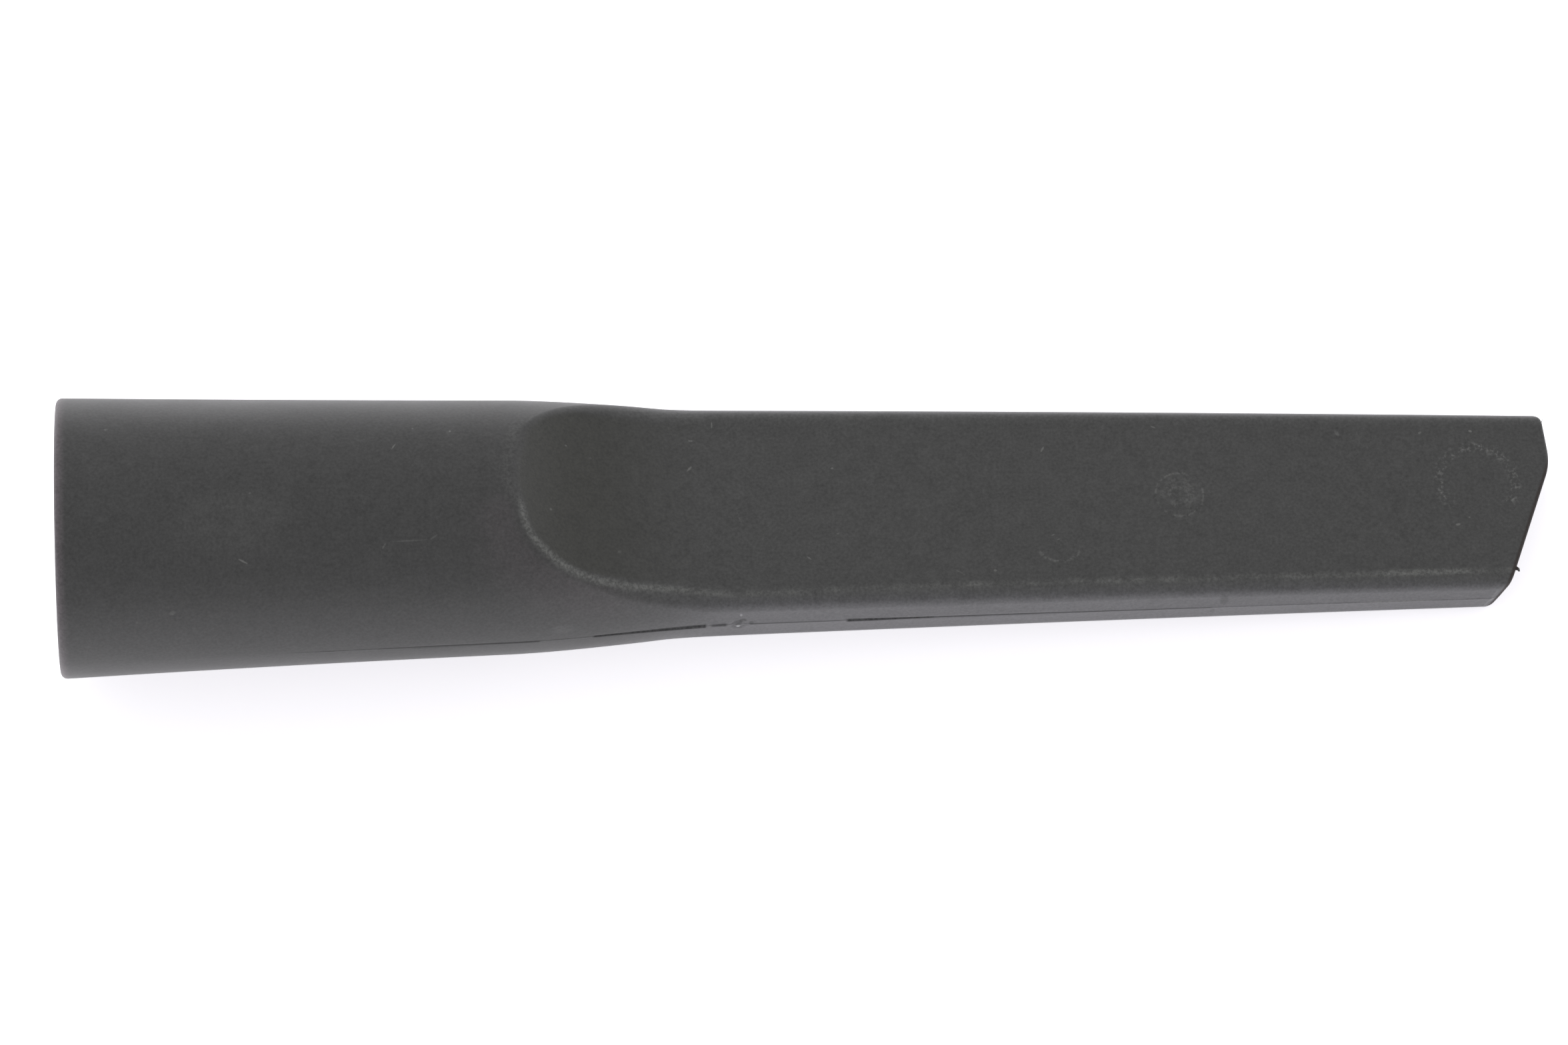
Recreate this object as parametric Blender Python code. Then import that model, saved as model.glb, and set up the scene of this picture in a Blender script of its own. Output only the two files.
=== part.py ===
"""A crevice nozzle for a vacuum cleaner: one hollow plastic moulding, from a round socket to a flat slot mouth.

The nozzle is drawn along its own axis: x runs from the socket's rim to the mouth, y across the nozzle's width
and z through its thickness. It is then laid on a table, where it rests on the neck of its socket, at the point
where the lower scoop starts, and on the lower lip of its mouth.
All lengths are in metres.
"""

import math

import bmesh
import bpy
from mathutils import Matrix

# Overall
LENGTH = 0.2103
SOCKET_WALL = 0.0019
MOUTH_WALL = 0.0016

# Round socket: the outer radius falls along a shallow curve
RIM_RADIUS = 0.0197
MID_RADIUS = 0.01873
NECK_RADIUS = 0.01794
MID_X = 0.030
NECK_X = 0.060
RIM_ROUNDING = 0.0009

# Flat nozzle: half its width and half its thickness, at its start and at its mouth
NOZZLE_X = 0.095
NOZZLE_HALF_WIDTH = 0.0158
MOUTH_HALF_WIDTH = 0.01354
NOZZLE_HALF_THICKNESS = 0.00576
MOUTH_HALF_THICKNESS = 0.00426
NOZZLE_EDGE_RADIUS = 0.00225
MOUTH_EDGE_RADIUS = 0.00178
SMALLEST_EDGE_RADIUS = 0.0005
SIDE_DRAFT = 0.04

# Transition: the width narrows, the round sides flatten, and a scoop runs down to each broad face
NARROWING_X = 0.0625
FLATTENING_X = 0.0842
SCOOP_X = 0.0632

# Mouth outline across the width: a short slope out from the far corner, then a long slant back to the near one
APEX_Y = 0.0055
FAR_SLOPE = 0.10
NEAR_SLANT = 0.372
APEX_RADIUS = 0.009
MOUTH_RAKE = 0.27  # the cut also falls back, by this much for each unit below the upper lip
CORNER_RADIUS = 0.0011

# Facets of each quarter of a section, and of the stretches along the axis
SIDE_STEPS = 9
EDGE_STEPS = 3
FLAT_STEPS = 4
ROUNDING_STEPS = 3
SOCKET_STEPS = 7
SCOOP_STEPS = 11
NOZZLE_STEPS = 5
ARC_STEPS = 6
PLAIN_SHOULDER = math.radians(62.0)
SHOULDER_RUN = 0.016

# The core and the cutter run past the nozzle's ends
OVERRUN = 0.003
MERGE_DISTANCE = 1e-6
SMALL_STEP = 1e-6
SHARP_ANGLE = math.radians(30.0)

CHARCOAL = (0.058, 0.058, 0.056, 1.0)
ROUGHNESS = 0.62


def mix(a, b, share):
    """The value that lies the given share of the way from a to b."""
    return a + (b - a) * share


def smooth_step(start, end, x):
    """0 up to start, 1 from end on, with a level tangent at both."""
    share = min(max((x - start) / (end - start), 0.0), 1.0)
    return share * share * (3.0 - 2.0 * share)


def socket_radius(x):
    """The round socket's outer radius: a parabola through the rim, the middle and the neck."""
    share = x / NECK_X
    middle = MID_X / NECK_X
    bend = (MID_RADIUS - mix(RIM_RADIUS, NECK_RADIUS, middle)) / (middle * (1.0 - middle))
    return mix(RIM_RADIUS, NECK_RADIUS, share) + bend * share * (1.0 - share)


def wall(x):
    """Thickness of the wall, which thins a little from the rim to the mouth."""
    return mix(SOCKET_WALL, MOUTH_WALL, x / LENGTH)


def nozzle_share(x):
    """How far x lies from the flat nozzle's start to its mouth, from 0 to 1."""
    return (x - NOZZLE_X) / (LENGTH - NOZZLE_X)


def half_width(x, depth):
    """Half the width at the parting plane. At depth 0 it is the outer skin's, and at depth 1 the duct's."""
    nozzle = mix(NOZZLE_HALF_WIDTH, MOUTH_HALF_WIDTH, nozzle_share(x))
    return mix(socket_radius(x), nozzle, smooth_step(NARROWING_X, NOZZLE_X, x)) - depth * wall(x)


def flat_height(x, depth):
    """Half the thickness of the flat nozzle."""
    return mix(NOZZLE_HALF_THICKNESS, MOUTH_HALF_THICKNESS, nozzle_share(x)) - depth * wall(x)


def scoop_arc():
    """The arc that runs from the socket's top down into the broad face: its centre's x and z, and its radius."""
    fall = math.atan((NOZZLE_HALF_THICKNESS - MOUTH_HALF_THICKNESS) / (LENGTH - NOZZLE_X))
    back = SCOOP_X - NOZZLE_X
    rise = half_width(SCOOP_X, 0.0) - NOZZLE_HALF_THICKNESS
    radius = (back * back + rise * rise) / 2.0 / (back * math.sin(fall) + rise * math.cos(fall))
    return NOZZLE_X + radius * math.sin(fall), NOZZLE_HALF_THICKNESS + radius * math.cos(fall), radius


def scoop_start(depth):
    """Where the scoop's arc leaves the top of the round skin."""
    centre_x, centre_z, radius = scoop_arc()
    rise = centre_z - half_width(SCOOP_X, depth)
    return centre_x - math.sqrt((radius + depth * wall(SCOOP_X)) ** 2 - rise * rise)


def floor_height(x, depth):
    """Height of the broad face, or of the scoop that runs down to it, over the parting plane."""
    if x >= NOZZLE_X:
        return flat_height(x, depth)
    centre_x, centre_z, radius = scoop_arc()
    return centre_z - math.sqrt((radius + depth * wall(x)) ** 2 - (centre_x - x) ** 2)


def side_offset(x, z, depth):
    """Distance of the side wall from the middle plane at height z: round at first, then nearly upright."""
    width = half_width(x, depth)
    round_side = math.sqrt(max(width * width - z * z, 0.0))
    upright_side = width - SIDE_DRAFT * z
    return mix(round_side, upright_side, smooth_step(FLATTENING_X, NOZZLE_X, x))


def edge_radius(x, depth):
    """Radius of the rounded edge between the side and the broad face: none where the scoop starts."""
    full = mix(NOZZLE_EDGE_RADIUS, MOUTH_EDGE_RADIUS, max(nozzle_share(x), 0.0))
    full = max(full - depth * wall(x), SMALLEST_EDGE_RADIUS)
    return full * smooth_step(scoop_start(depth), NOZZLE_X, x)


def round_quarter(x, depth):
    """A quarter of a round section, from the side to the top, with its points crowding towards the scoop."""
    radius = half_width(x, depth)
    crowding = smooth_step(scoop_start(depth) - SHOULDER_RUN, scoop_start(depth), x)
    shoulder = mix(PLAIN_SHOULDER, math.pi / 2.0, crowding)
    upper_steps = EDGE_STEPS + FLAT_STEPS
    angles = [shoulder * i / SIDE_STEPS for i in range(SIDE_STEPS)]
    angles += [mix(shoulder, math.pi / 2.0, i / upper_steps) for i in range(upper_steps + 1)]
    return [(radius * math.cos(a), radius * math.sin(a)) for a in angles]


def flat_quarter(x, depth):
    """A quarter of a flattened section: the side wall, the rounded edge and half of the broad face."""
    top = floor_height(x, depth)
    radius = edge_radius(x, depth)
    low = top - radius
    narrowing = side_offset(x, low - SMALL_STEP, depth) - side_offset(x, low, depth)
    lean = math.atan(narrowing / SMALL_STEP)
    touch = low + radius * math.sin(lean)
    centre = side_offset(x, touch, depth) - radius * math.cos(lean)
    heights = [touch * i / SIDE_STEPS for i in range(SIDE_STEPS)]
    points = [(side_offset(x, z, depth), z) for z in heights]
    for i in range(EDGE_STEPS + 1):
        angle = mix(lean, math.pi / 2.0, i / EDGE_STEPS)
        points.append((centre + radius * math.cos(angle), low + radius * math.sin(angle)))
    points += [(centre * (1.0 - i / FLAT_STEPS), top) for i in range(1, FLAT_STEPS + 1)]
    return points


def section(x, depth):
    """The whole section at x, counter-clockwise from the far side, seen from the mouth."""
    quarter = round_quarter(x, depth) if x <= scoop_start(depth) else flat_quarter(x, depth)
    upper = quarter + [(-y, z) for y, z in reversed(quarter[:-1])]
    return upper + [(y, -z) for y, z in reversed(upper[1:-1])]


def stations(depth):
    """Places of the sections along the axis, close together where the scoop starts."""
    start = scoop_start(depth)
    socket = [start * i / SOCKET_STEPS for i in range(1, SOCKET_STEPS)]
    scoop = [mix(start, NOZZLE_X, (i / SCOOP_STEPS) ** 2) for i in range(SCOOP_STEPS + 1)]
    tip = LENGTH + OVERRUN
    nozzle = [mix(NOZZLE_X, tip, i / NOZZLE_STEPS) for i in range(1, NOZZLE_STEPS + 1)]
    return socket + scoop + nozzle


def rim_sections():
    """The rounded outer edge of the socket's rim, as sections from the end face inwards."""
    sections = []
    for i in range(ROUNDING_STEPS + 1):
        angle = math.pi / 2.0 * i / ROUNDING_STEPS
        x = RIM_ROUNDING * (1.0 - math.cos(angle))
        cut = RIM_ROUNDING * (1.0 - math.sin(angle))
        sections.append((x, section(x, cut / wall(x))))
    return sections


def link_mesh(name, bm, collection):
    """Make an object of the bmesh in the given collection."""
    mesh = bpy.data.meshes.new(name)
    bm.to_mesh(mesh)
    bm.free()
    piece = bpy.data.objects.new(name, mesh)
    collection.objects.link(piece)
    return piece


def loft(name, sections, collection):
    """A closed solid through sections of the same number of points, each given as (x, points)."""
    bm = bmesh.new()
    rings = [[bm.verts.new((x, y, z)) for y, z in points] for x, points in sections]
    for ring, after in zip(rings, rings[1:]):
        for i, vertex in enumerate(ring):
            bm.faces.new((ring[i - 1], vertex, after[i], after[i - 1]))
    bm.faces.new(rings[0])
    bm.faces.new(rings[-1])
    bmesh.ops.remove_doubles(bm, verts=bm.verts, dist=MERGE_DISTANCE)
    bmesh.ops.recalc_face_normals(bm, faces=bm.faces)
    return link_mesh(name, bm, collection)


def arc(corner, before, after, radius):
    """Points of the arc that rounds the corner between the points before and after it."""
    ways = []
    for point in (before, after):
        run = math.dist(corner, point)
        ways.append(((point[0] - corner[0]) / run, (point[1] - corner[1]) / run))
    half_angle = math.acos(ways[0][0] * ways[1][0] + ways[0][1] * ways[1][1]) / 2.0
    bisector = (ways[0][0] + ways[1][0], ways[0][1] + ways[1][1])
    length = math.hypot(*bisector)
    centre = [corner[i] + bisector[i] / length * radius / math.sin(half_angle) for i in (0, 1)]
    touches = [[corner[i] + way[i] * radius / math.tan(half_angle) for i in (0, 1)] for way in ways]
    start, end = [math.atan2(touch[1] - centre[1], touch[0] - centre[0]) for touch in touches]
    turn = math.remainder(end - start, math.tau)
    angles = [start + turn * i / ARC_STEPS for i in range(ARC_STEPS + 1)]
    return [(centre[0] + radius * math.cos(a), centre[1] + radius * math.sin(a)) for a in angles]


def side_taper():
    """How much half the nozzle's width shrinks for each unit of its length."""
    return (NOZZLE_HALF_WIDTH - MOUTH_HALF_WIDTH) / (LENGTH - NOZZLE_X)


def mouth_outline():
    """The mouth's edge seen from above, from the far side to the near one."""
    side = MOUTH_HALF_WIDTH
    apex = (LENGTH, APEX_Y)
    far_corner = (LENGTH - FAR_SLOPE * (side - APEX_Y), side)
    near_corner = (LENGTH - NEAR_SLANT * (side + APEX_Y), -side)
    far_side = (NOZZLE_X, side + (LENGTH - NOZZLE_X) * side_taper())
    near_side = (NOZZLE_X, -far_side[1])
    outline = arc(far_corner, far_side, apex, CORNER_RADIUS)
    outline += arc(apex, far_corner, near_corner, APEX_RADIUS)
    outline += arc(near_corner, apex, near_side, CORNER_RADIUS)
    return outline


def mouth_cutter(collection):
    """A leaning plate with the mouth's outline as one edge, which trims the nozzle's end."""
    outline = mouth_outline()
    beyond = LENGTH + 2.0 * OVERRUN + RIM_RADIUS
    outside = RIM_RADIUS
    outline = [(outline[0][0], outside)] + outline + [(outline[-1][0], -outside)]
    outline += [(beyond, -outside), (beyond, outside)]
    curve = bpy.data.curves.new("mouth_outline", "CURVE")
    curve.dimensions = "2D"
    curve.fill_mode = "BOTH"
    curve.extrude = RIM_RADIUS
    spline = curve.splines.new("POLY")
    spline.points.add(len(outline) - 1)
    for point, (x, y) in zip(spline.points, outline):
        point.co = (x, y, 0.0, 1.0)
    spline.use_cyclic_u = True
    cutter = mesh_from_curve("mouth_cutter", curve, collection)
    for vertex in cutter.data.vertices:
        vertex.co.x -= MOUTH_RAKE * (MOUTH_HALF_THICKNESS - vertex.co.z)
    return cutter


def mesh_from_curve(name, curve, collection):
    """Turn a curve into a welded mesh object."""
    drawn = bpy.data.objects.new(name + "_curve", curve)
    collection.objects.link(drawn)
    evaluated = drawn.evaluated_get(bpy.context.evaluated_depsgraph_get())
    mesh = bpy.data.meshes.new_from_object(evaluated)
    bm = bmesh.new()
    bm.from_mesh(mesh)
    bmesh.ops.remove_doubles(bm, verts=bm.verts, dist=MERGE_DISTANCE)
    bmesh.ops.recalc_face_normals(bm, faces=bm.faces)
    piece = link_mesh(name, bm, collection)
    piece.matrix_world = drawn.matrix_world
    bpy.data.objects.remove(drawn)
    bpy.data.meshes.remove(mesh)
    return piece


def cut(piece, cutter):
    """Take the cutter's shape out of the piece."""
    modifier = piece.modifiers.new(cutter.name, "BOOLEAN")
    modifier.operation = "DIFFERENCE"
    modifier.object = cutter
    cutter.hide_render = True
    cutter.display_type = "WIRE"


def plastic(name, colour, roughness):
    """A plain moulded plastic."""
    material = bpy.data.materials.new(name)
    material.use_nodes = True
    shader = material.node_tree.nodes["Principled BSDF"]
    shader.inputs["Base Color"].default_value = colour
    shader.inputs["Roughness"].default_value = roughness
    shader.inputs["Metallic"].default_value = 0.0
    return material


def make_nozzle(parts, cutters):
    """The moulding: the outer skin, less the duct's core, trimmed at the mouth."""
    outer = rim_sections() + [(x, section(x, 0.0)) for x in stations(0.0)]
    nozzle = loft("nozzle_body", outer, parts)
    bore = [(-OVERRUN, section(0.0, 1.0))] + [(x, section(x, 1.0)) for x in stations(1.0)]
    bore.append((LENGTH + 2.0 * OVERRUN, bore[-1][1]))
    cut(nozzle, loft("duct_core", bore, cutters))
    cut(nozzle, mouth_cutter(cutters))
    nozzle.data.materials.append(plastic("charcoal_plastic", CHARCOAL, ROUGHNESS))
    nozzle.data.shade_smooth()
    nozzle.data.set_sharp_from_angle(angle=SHARP_ANGLE)
    return nozzle


def resting_tilt():
    """The angle of the axis when the mouth's lower lip and the underside of the socket touch the same plane."""
    lip_x = LENGTH - 2.0 * MOUTH_RAKE * MOUTH_HALF_THICKNESS
    lip_height = flat_height(lip_x, 0.0)
    socket = [SCOOP_X * i / SOCKET_STEPS for i in range(SOCKET_STEPS + 1)]
    return max(math.atan2(half_width(x, 0.0) - lip_height, lip_x - x) for x in socket)


def lay_down(nozzle, parts):
    """Rest the nozzle on the plane z = 0, centred over the origin, by way of an empty on its axis."""
    evaluated = nozzle.evaluated_get(bpy.context.evaluated_depsgraph_get())
    tilt = resting_tilt()
    turn = Matrix.Rotation(tilt, 3, "Y")
    corners = [turn @ vertex.co for vertex in evaluated.data.vertices]
    reach = [corner.x for corner in corners]
    rest = bpy.data.objects.new("resting_axis", None)
    parts.objects.link(rest)
    rest.rotation_euler.y = tilt
    rest.location.x = -(min(reach) + max(reach)) / 2.0
    rest.location.z = -min(corner.z for corner in corners)
    nozzle.parent = rest
    for cutter in bpy.data.collections["cutters"].objects:
        cutter.parent = rest


def main():
    """Clear the scene, then build the nozzle in its own collection and its cutters in another."""
    for leftover in list(bpy.data.objects):
        bpy.data.objects.remove(leftover, do_unlink=True)
    parts = bpy.data.collections.new("crevice_nozzle")
    cutters = bpy.data.collections.new("cutters")
    bpy.context.scene.collection.children.link(parts)
    bpy.context.scene.collection.children.link(cutters)
    nozzle = make_nozzle(parts, cutters)
    lay_down(nozzle, parts)


main()
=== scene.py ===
"""A crevice nozzle for a vacuum cleaner: one charcoal plastic moulding, lying on a pale floor.

The moulding is drawn along its own axis: x runs from the socket's rim to the mouth, y across the nozzle's
width and z through its thickness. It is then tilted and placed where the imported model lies. Lengths are in
metres, apart from the plastic's zones and marks, which are in millimetres.
"""

import math

import bpy
import numpy as np
from mathutils import Matrix, Vector


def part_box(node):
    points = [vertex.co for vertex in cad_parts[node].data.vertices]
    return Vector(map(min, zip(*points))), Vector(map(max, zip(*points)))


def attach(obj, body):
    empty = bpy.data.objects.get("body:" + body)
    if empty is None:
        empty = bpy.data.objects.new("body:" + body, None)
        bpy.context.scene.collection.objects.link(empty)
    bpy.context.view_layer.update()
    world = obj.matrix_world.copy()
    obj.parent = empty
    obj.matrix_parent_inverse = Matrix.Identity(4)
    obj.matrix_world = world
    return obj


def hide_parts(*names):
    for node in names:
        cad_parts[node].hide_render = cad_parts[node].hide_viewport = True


NODE = "nozzle_body"
SLOT = "moulded_plastic"

# Overall
LENGTH = 0.2103
SOCKET_WALL = 0.0019
MOUTH_WALL = 0.0016
WARP = 0.00048  # the middle lies this far to the +Y side of a line through the ends

# Round socket: the outer radius falls along a shallow curve
RIM_RADIUS = 0.0197
MID_RADIUS = 0.01873
NECK_RADIUS = 0.01794
MID_X = 0.030
NECK_X = 0.060

# Flat nozzle: half its width and half its thickness, at its start and at its mouth
NOZZLE_X = 0.095
NOZZLE_HALF_WIDTH = 0.0158
MOUTH_HALF_WIDTH = 0.01354
NOZZLE_HALF_THICKNESS = 0.00576
MOUTH_HALF_THICKNESS = 0.00426
SIDE_DRAFT = 0.04

# Transition: the width narrows, the round sides flatten, and a scoop runs down to each broad face
NARROWING_X = 0.0625
FLATTENING_X = 0.0842
SCOOP_X = 0.0632

# Rounded edge between the side and the scoop or broad face: soft at the scoop's top, tight down the scoop's
# sides, and full along the flat nozzle
APEX_ROUNDING = 0.00085
TIGHT_ROUNDING = 0.00034
APEX_HALF_WIDTH = 0.004
TIGHT_FROM = 0.010
NOZZLE_EDGE_RADIUS = 0.00225
MOUTH_EDGE_RADIUS = 0.00178
SMALLEST_EDGE_RADIUS = 0.0004
FULL_ROUNDING = 0.0012  # from this radius on, the burnished line lies at the rounding's inner end

# Rounded edges of the rim and of the mouth, outside and in the bore
RIM_ROUNDING = 0.0009
BORE_ROUNDING = 0.0005
MOUTH_ROUNDING = 0.0008
DUCT_ROUNDING = 0.0003

# Mouth outline across the width: a short slope out from the far corner, then a long slant back
APEX_Y = 0.0055
FAR_SLOPE = 0.10
NEAR_SLANT = 0.372
APEX_RADIUS = 0.009
CORNER_RADIUS = 0.0011
MOUTH_RAKE = 0.27  # the cut also falls back, by this much for each unit below the upper lip

# Parting line along both narrow sides: a fine ridge of flash whose height wavers about a share of its full
# height, a step between the two halves, and stretches on the near side that a knife has pared flat
FLASH_HEIGHT = 0.00005
FLASH_HALF_WIDTH = 0.00013
FLASH_SHARE = 0.7
FLASH_WAVES = ((0.2, 1370.0, 0.0), (0.15, 3190.0, 1.0))  # share, radians to a metre, and phase of each
NEAR_SEAM_START = (0.030, 0.038)
MOULD_STEP = 0.00003
MOULD_STEP_HALF_WIDTH = 0.0001
MOULD_STEP_REACH = 0.0014
PARED_DEPTH = 0.00006
PARED_HALF_HEIGHT = 0.00028
PARED_START = 0.0008
PARED_RUN_OUT = 0.006
PARED_STRETCHES = ((0.0483, 0.0618), (0.0742, 0.0910), (0.1099, 0.1426))

# The gate's mark on the near side: a stub with a shallow moat round it, whose spreads are shares of the radius
GATE_X = 0.0948
GATE_Z = 0.0001
GATE_RADIUS = 0.0008
STUB_HEIGHT = 0.00026
STUB_SPREAD = 0.42
MOAT_DEPTH = 0.00012
MOAT_SPREAD = 0.35

# Mesh: columns in each quarter of a section, how strongly and how widely they crowd at two lines, and how far
# before the scoop they begin and finish crowding at its edge
QUARTER_COLUMNS = 76
RAY_SAMPLES = 900
EDGE_CROWDING = (7.0, 0.0016)
SEAM_CROWDING = (7.0, 0.0005)
CROWDING_LEAD = (0.025, 0.003)
COLUMN_SMOOTHING = 0.0022

# Mesh: how many sections each stretch has, and how they crowd towards the scoop
SOCKET_SECTIONS = 34
SCOOP_LEAD = 0.014
LEAD_SECTIONS = 26
LEAD_CROWDING = 1.8
SCOOP_SECTIONS = 96
SCOOP_CROWDING = 1.6
GATE_REACH = 0.0012
GATE_SECTIONS = 17
NOZZLE_SECTIONS = 52
PARED_SPACING = 0.0006
SMALLEST_SPACING = 0.00008
DUCT_NOZZLE_SECTIONS = 20
DUCT_SCOOP_SECTIONS = 30
BORE_SECTIONS = 24
BORE_CROWDING = 1.4
OUTER_EDGE_STEPS = 6
BORE_EDGE_STEPS = 4
DUCT_EDGE_STEPS = 3
FILLET_STEPS = 16

# Mesh: the stretch over which the sections turn from square to the mouth's slant
SHEAR_X = 0.196
SHEAR_STEPS = 7
DUCT_SHEAR_STEPS = 3
SHEAR_ROUNDS = 24

# Working steps
SHORTEST_RAY = 0.001
LONGEST_RAY = 0.025
BISECTIONS = 34
SMALL_STEP = 1e-6
SLOPE_STEP = 0.00005
TILT_SAMPLES = 8
MILLIMETRES = 1000.0

# Sockets of a Mix node whose names aren't unique: its numbers, its colours, and the colour that comes out
MIX_NUMBERS = (2, 3)
MIX_COLOURS = (6, 7)
MIX_COLOUR_RESULT = 2

# Hairs of flash at the mouth: the route of each, and half its width at its root
HAIR_SIDES = 8
HAIR_TIP = 0.15
HAIR_TAPER = 0.7
FLASH_HAIRS = (
    (
        (0.20375, -0.0107, 0.0037),
        (0.20420, -0.0108, 0.0038),
        (0.20456, -0.0110, 0.0038),
        (0.20470, -0.0113, 0.0037),
        0.00042,
    ),
    (
        (0.20900, 0.0119, 0.0025),
        (0.20950, 0.0122, 0.0025),
        (0.20985, 0.0126, 0.0026),
        (0.21000, 0.0130, 0.0027),
        0.00008,
    ),
)

# Camera: its turn about the vertical, its lean from straight down, and its turn towards the socket
CAMERA_YAW = math.radians(3.779)
CAMERA_LEAN = math.radians(25.395)
CAMERA_PAN = math.radians(3.4)
CAMERA_TARGET = (-0.003016, 0.0071025, 0.0)
CAMERA_DISTANCE = 1.2097
CAMERA_LENS = 194.67
SENSOR_WIDTH = 36.0
FARTHEST_SEEN = 20.0

# Light: the surround's glow at the horizon and overhead, the floor's own glow, and one lamp
SURROUND_COLOUR = (1.0, 1.0, 1.0, 1.0)
HORIZON_GLOW = 0.92
ZENITH_GLOW = 0.68
ZENITH_HEIGHT = 0.36
FLOOR_GLOW = 0.68
FLOOR_TINT = (0.985, 0.965, 1.02, 1.0)
FLOOR_COLOUR = (0.8, 0.8, 0.8, 1.0)
FLOOR_ROUGHNESS = 0.9
FLOOR_HALF_SIZE = 6.0
LAMP_PLACE = (-0.25, 1.0, 1.2)
LAMP_SIZE = 0.8
LAMP_POWER = 11.0

# Plastic: colours, and how rough each zone is
CHARCOAL = (0.0412, 0.0412, 0.0410)
SOCKET_CHARCOAL = (0.0365, 0.0365, 0.0366)
SCOOP_CHARCOAL = (0.0262, 0.0264, 0.0232)
BLOOM_GREY = (0.0520, 0.0475, 0.0500)
# Painted light: the lighter tone of the rounding between the face and the side
ROUNDING_LIGHT_GREY = (0.0640, 0.0640, 0.0640)
SIDE_GREY = (0.0700, 0.0690, 0.0740)
# Painted highlight: the rounded rim's lighter, lavender tone stands for the light its curve catches
RIM_HIGHLIGHT_GREY = (0.0900, 0.0780, 0.0850)
# Painted shade, brownish, on the mouth's cut face and lips
MOUTH_SHADE_BROWN = (0.0200, 0.0140, 0.0120)
BURNISHED_GREY = (0.1000, 0.1010, 0.0970)
SCUFF_GREY = (0.1150, 0.1150, 0.1120)
GATE_WHITE = (0.5000, 0.5000, 0.5100)
# Near black for the painted shade along the pared flash, and for the dark marks on the near side
SHADE_AND_MARK_BLACK = (0.0040, 0.0040, 0.0045)
FACE_ROUGHNESS = 0.46
SIDE_ROUGHNESS = 0.36
DUCT_ROUGHNESS = 0.40
BURNISHED_ROUGHNESS = 0.38
PARED_ROUGHNESS = 0.85
MOUTH_ROUGHNESS = 0.70
REFRACTIVE_INDEX = 1.49

# Noises: cells to a millimetre, detail and roughness
GRAIN_NOISE = (2.3, 3.0, 0.65)
MOTTLE_NOISE = (0.45, 3.0, 0.55)
PATCH_NOISE = (0.055, 2.0, 0.5)
BLOTCH_NOISE = (0.9, 2.0, 0.5)
DRAG_NOISE = (1.0, 3.0, 0.6)
DRAG_STRETCH = (0.03, 2.4, 2.4)
SPECKLE_GRAIN = (0.36, 0.62)

# How far the noises and two zones change the colour and the roughness, and how high the noises stand
GRAIN_SHADE = 1.35
MOTTLE_SHADE = 0.5
PATCH_SHADE = 0.15
# Painted light: how much lighter the lower half of the narrow sides is, for the floor's reflected light
LOWER_PAINTED_LIGHT = 0.10
# Painted light: how much lighter the socket's near side is below the parting line, for the floor's reflected
# light
SOCKET_BELOW_PAINTED_LIGHT = 0.14
PATCH_ROUGHNESS = 0.12
MOTTLE_ROUGHNESS = 0.10
GRAIN_HEIGHT = 0.018
MOTTLE_HEIGHT = 0.02

# Zones in millimetres: where each begins, and where it is full. ALONG is measured along the axis, ACROSS
# from the edge's burnished line down the side, WIDTH across the nozzle, and HEIGHT from the parting line.
DUCT_ACROSS = (400.0, 600.0)
UPPER_HEIGHT = (2.0, 3.0)
LOWER_HEIGHT = (0.1, -0.1)
NEAR_WIDTH = (-2.0, -6.0)
FAR_WIDTH = (2.0, 6.0)
RIM_ALONG = (1.7, 0.2)
NOZZLE_ALONG = (56.0, 84.0)
SIDE_ALONG = (74.0, 100.0)
SIDE_ACROSS = (0.2, 3.2)
SCOOP_ALONG = (92.0, 70.0)
SCOOP_ACROSS = (0.1, -0.7)
SOCKET_BELOW_ALONG = (36.0, 30.0)
SOCKET_BELOW_HEIGHT = (0.3, -0.5)

# Bloom beside the scoop's near edge. Along the axis it has a start, an end, and how soft both are.
BLOOM_START_ACROSS = (0.4, 1.6)
BLOOM_END_ACROSS = (9.0, 2.0)
BLOOM_ALONG = (54.0, 84.0, 9.0)
BLOOM_SHARE = 0.8

# Painted light on the rounding between the face and the side: its middle and half width across, and where it
# begins
ROUNDING_ACROSS = (1.2, 2.1)
ROUNDING_ALONG = (70.0, 84.0)
ROUNDING_SHARE = 0.6

# Burnished line along the near edge of the scoop and the face. It widens from the first half width to the
# second, and its middle drifts across: each drift is where it begins, where it ends, and the new middle.
# It is strong beside the scoop, follows the mottle after that, and has one polished stretch. The smooth share
# is what is left of it between the speckles of the grain.
BURNISHED_ALONG = (61.0, 65.0)
BURNISHED_WIDENING = (63.0, 70.0)
BURNISHED_HALF_WIDTHS = (0.50, 0.80)
BURNISHED_MIDDLE = 0.1
BURNISHED_DRIFTS = ((68.0, 78.0, 0.5), (100.0, 126.0, -0.05), (168.0, 196.0, -0.25))
BURNISHED_STRONG_ALONG = (96.0, 82.0)
FAINT_MOTTLE = (0.4, 0.62)
FAINT_SHARES = (0.16, 0.5)
POLISHED_ALONG = (183.5, 198.5, 2.0)
POLISHED_SHARE = 0.8
SMOOTH_SHARE = 0.45

# Speckled band along the scoop's top
BAND_ACROSS = (0.9, 1.0)
BAND_ALONG = (58.0, 68.0, 1.5)
BAND_FAR_WIDTH = (12.0, 6.0)
BAND_NEAR_WIDTH = (-6.0, -2.0)
BAND_SHARES = (0.02, 0.17)

# Mouth: painted shade, brownish, on the cut behind the edge's plane, and in front of it
MOUTH_BEHIND = (0.9, 0.4)
MOUTH_AHEAD = (-0.3, -0.15)
MOUTH_ALONG = (190.0, 198.0)
MOUTH_REACH = LENGTH - NEAR_SLANT * APEX_Y - MOUTH_RAKE * (MOUTH_HALF_THICKNESS - MOUTH_ROUNDING)
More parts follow.
